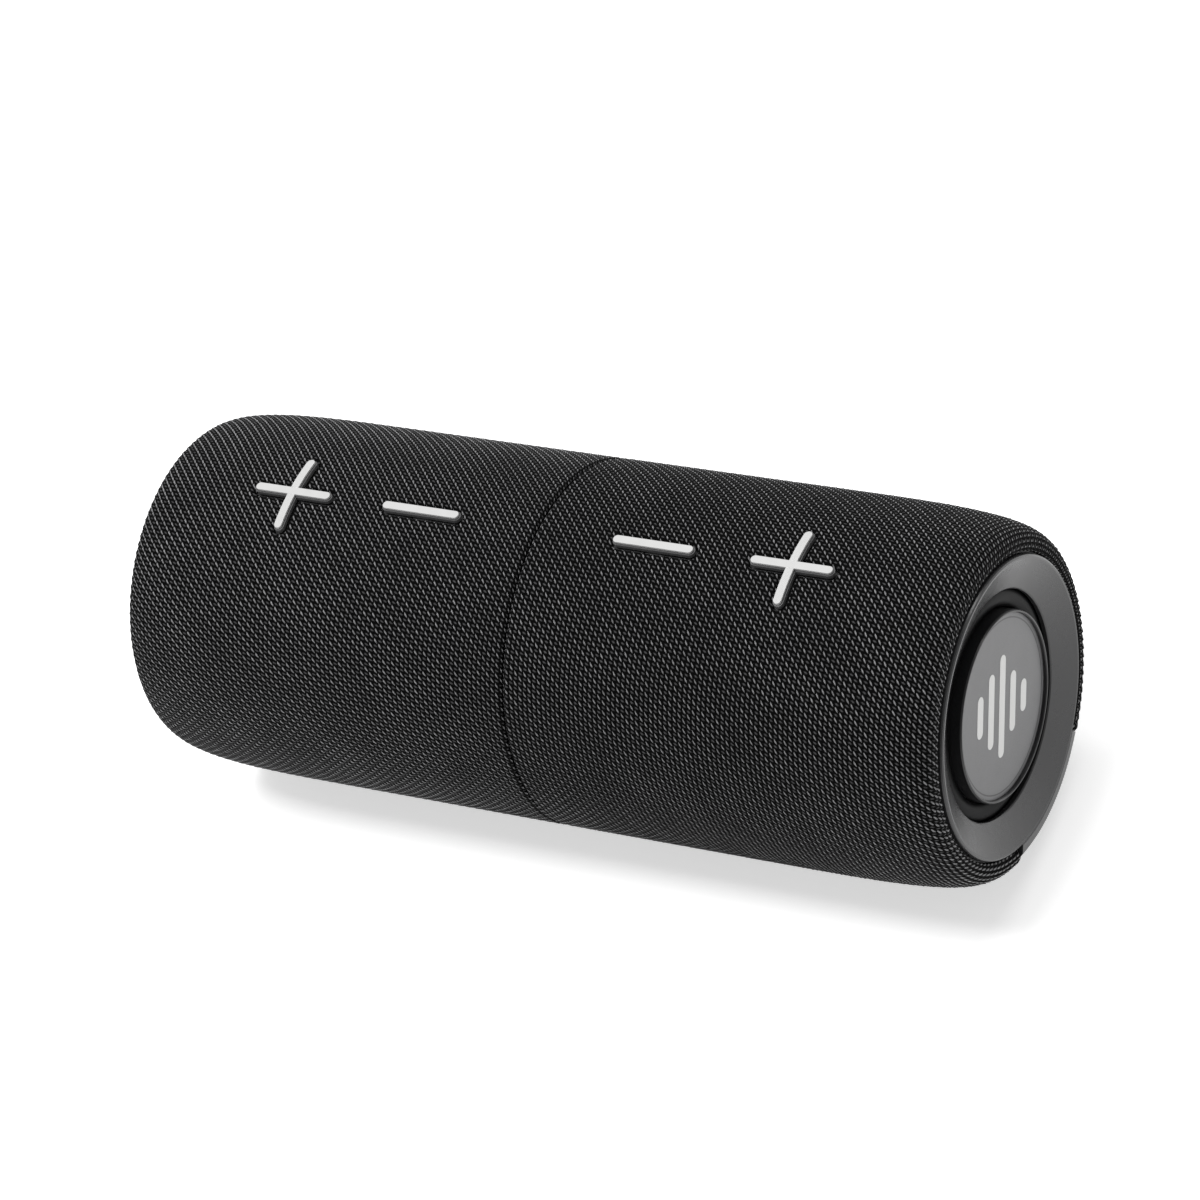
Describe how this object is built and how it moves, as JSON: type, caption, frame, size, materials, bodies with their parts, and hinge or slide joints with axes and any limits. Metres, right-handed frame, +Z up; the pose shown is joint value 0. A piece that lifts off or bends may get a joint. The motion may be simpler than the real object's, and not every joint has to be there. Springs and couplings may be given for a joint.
{
  "type": "portable bluetooth speaker",
  "caption": "Portable bluetooth speaker: two cloth-wrapped cylindrical units held end to end by magnets, with volume keys on top and a passive radiator at each end.",
  "frame": {"origin": "on the surface that the feet stand on, under the middle of the seam between the two units", "axes": "+X along the cylinder from the left unit to the right unit, +Z up through the volume keys, -Y the front of the right unit"},
  "size_m": [0.1976, 0.08, 0.0814],
  "materials": {
    "cloth": "woven, black",
    "shell_plastic": "fine texture",
    "satin_plastic": "satin, dark grey",
    "dock_plastic": "fine texture",
    "magnet_plating": "nickel plated",
    "surround_rubber": "smooth, semi-gloss",
    "puck_plastic": "semi-gloss",
    "badge_print": "printed, matte",
    "basket_steel": "black coated",
    "cone_paper": "pressed pulp",
    "copper": "enamelled winding",
    "spider_cloth": "resin-stiffened weave",
    "ferrite": "sintered",
    "zinc_steel": "zinc plated",
    "board": "solder mask",
    "cell_wrap": "shrink wrap",
    "clear_lens": "diffused",
    "socket_steel": "plated",
    "key_plastic": "satin, light grey",
    "silicone": "soft",
    "button_plastic": "satin",
    "flap_rubber": "soft matte",
    "foot_rubber": "matte, ribbed",
    "screw_steel": "black zinc"
  },
  "bodies": {
    "left_unit": {"cloth_sleeve_left": "cloth", "shell_left": "shell_plastic", "end_ring_left": "satin_plastic", "base_strip_left": "satin_plastic", "dock_plate_left": "dock_plastic", "dock_magnets_left": "magnet_plating", "radiator_frame_left": "shell_plastic", "radiator_surround_left": "surround_rubber", "driver_basket_left": "basket_steel", "driver_surround_left": "surround_rubber", "spider_left": "spider_cloth", "driver_magnet_left": "ferrite", "driver_yoke_left": "zinc_steel", "main_board_left": "board", "battery_cell_left": "cell_wrap", "light_pipe_left": "clear_lens", "usb_socket_left": "socket_steel", "button_board_left": "board", "key_mat_left": "silicone", "feet_left": "foot_rubber", "screws_left": "screw_steel"},
    "left_radiator": {"radiator_puck_left": "puck_plastic", "badge_left": "badge_print"},
    "left_driver": {"driver_cone_left": "cone_paper", "voice_coil_left": "copper"},
    "left_plus": {"plus_key_left": "key_plastic"},
    "left_minus": {"minus_key_left": "key_plastic"},
    "left_power": {"power_button_left": "button_plastic"},
    "left_mode": {"mode_button_left": "button_plastic"},
    "left_flap": {"port_flap_left": "flap_rubber"},
    "right_unit": {"cloth_sleeve_right": "cloth", "shell_right": "shell_plastic", "end_ring_right": "satin_plastic", "base_strip_right": "satin_plastic", "dock_plate_right": "dock_plastic", "dock_magnets_right": "magnet_plating", "radiator_frame_right": "shell_plastic", "radiator_surround_right": "surround_rubber", "driver_basket_right": "basket_steel", "driver_surround_right": "surround_rubber", "spider_right": "spider_cloth", "driver_magnet_right": "ferrite", "driver_yoke_right": "zinc_steel", "main_board_right": "board", "battery_cell_right": "cell_wrap", "light_pipe_right": "clear_lens", "usb_socket_right": "socket_steel", "button_board_right": "board", "key_mat_right": "silicone", "feet_right": "foot_rubber", "screws_right": "screw_steel"},
    "right_radiator": {"radiator_puck_right": "puck_plastic", "badge_right": "badge_print"},
    "right_driver": {"driver_cone_right": "cone_paper", "voice_coil_right": "copper"},
    "right_plus": {"plus_key_right": "key_plastic"},
    "right_minus": {"minus_key_right": "key_plastic"},
    "right_power": {"power_button_right": "button_plastic"},
    "right_mode": {"mode_button_right": "button_plastic"},
    "right_flap": {"port_flap_right": "flap_rubber"}
  },
  "joints": [
    {"name": "undock", "type": "slide", "parent": "left_unit", "child": "right_unit", "axis": [1, 0, 0], "range_m": [0, 0.06]},
    {"name": "left_radiator_travel", "type": "slide", "parent": "left_unit", "child": "left_radiator", "axis": [-1, 0, 0], "range_m": [-0.002, 0.002], "stiffness_N_per_m": 500, "deforming": ["radiator_surround_left"]},
    {"name": "left_driver_travel", "type": "slide", "parent": "left_unit", "child": "left_driver", "axis": [0, 1, 0], "range_m": [-0.002, 0.002], "stiffness_N_per_m": 1200, "deforming": ["driver_surround_left", "spider_left"]},
    {"name": "left_plus_press", "type": "slide", "parent": "left_unit", "child": "left_plus", "axis": [0, 0, -1], "range_m": [0, 0.0005], "stiffness_N_per_m": 1500, "deforming": ["key_mat_left"]},
    {"name": "left_minus_press", "type": "slide", "parent": "left_unit", "child": "left_minus", "axis": [0, 0, -1], "range_m": [0, 0.0005], "stiffness_N_per_m": 1500, "deforming": ["key_mat_left"]},
    {"name": "left_power_press", "type": "slide", "parent": "left_unit", "child": "left_power", "axis": [0, 0, 1], "range_m": [0, 0.0005], "stiffness_N_per_m": 1500},
    {"name": "left_mode_press", "type": "slide", "parent": "left_unit", "child": "left_mode", "axis": [0, 0, 1], "range_m": [0, 0.0005], "stiffness_N_per_m": 1500},
    {"name": "left_flap_hinge", "type": "hinge", "parent": "left_unit", "child": "left_flap", "pos_m": [-0.0712, 0, 0.0024], "axis": [0, 1, 0], "range_deg": [0, 100]},
    {"name": "right_radiator_travel", "type": "slide", "parent": "right_unit", "child": "right_radiator", "axis": [1, 0, 0], "range_m": [-0.002, 0.002], "stiffness_N_per_m": 500, "deforming": ["radiator_surround_right"]},
    {"name": "right_driver_travel", "type": "slide", "parent": "right_unit", "child": "right_driver", "axis": [0, -1, 0], "range_m": [-0.002, 0.002], "stiffness_N_per_m": 1200, "deforming": ["driver_surround_right", "spider_right"]},
    {"name": "right_plus_press", "type": "slide", "parent": "right_unit", "child": "right_plus", "axis": [0, 0, -1], "range_m": [0, 0.0005], "stiffness_N_per_m": 1500, "deforming": ["key_mat_right"]},
    {"name": "right_minus_press", "type": "slide", "parent": "right_unit", "child": "right_minus", "axis": [0, 0, -1], "range_m": [0, 0.0005], "stiffness_N_per_m": 1500, "deforming": ["key_mat_right"]},
    {"name": "right_power_press", "type": "slide", "parent": "right_unit", "child": "right_power", "axis": [0, 0, 1], "range_m": [0, 0.0005], "stiffness_N_per_m": 1500},
    {"name": "right_mode_press", "type": "slide", "parent": "right_unit", "child": "right_mode", "axis": [0, 0, 1], "range_m": [0, 0.0005], "stiffness_N_per_m": 1500},
    {"name": "right_flap_hinge", "type": "hinge", "parent": "right_unit", "child": "right_flap", "pos_m": [0.0712, 0, 0.0024], "axis": [0, -1, 0], "range_deg": [0, 100]}
  ]
}
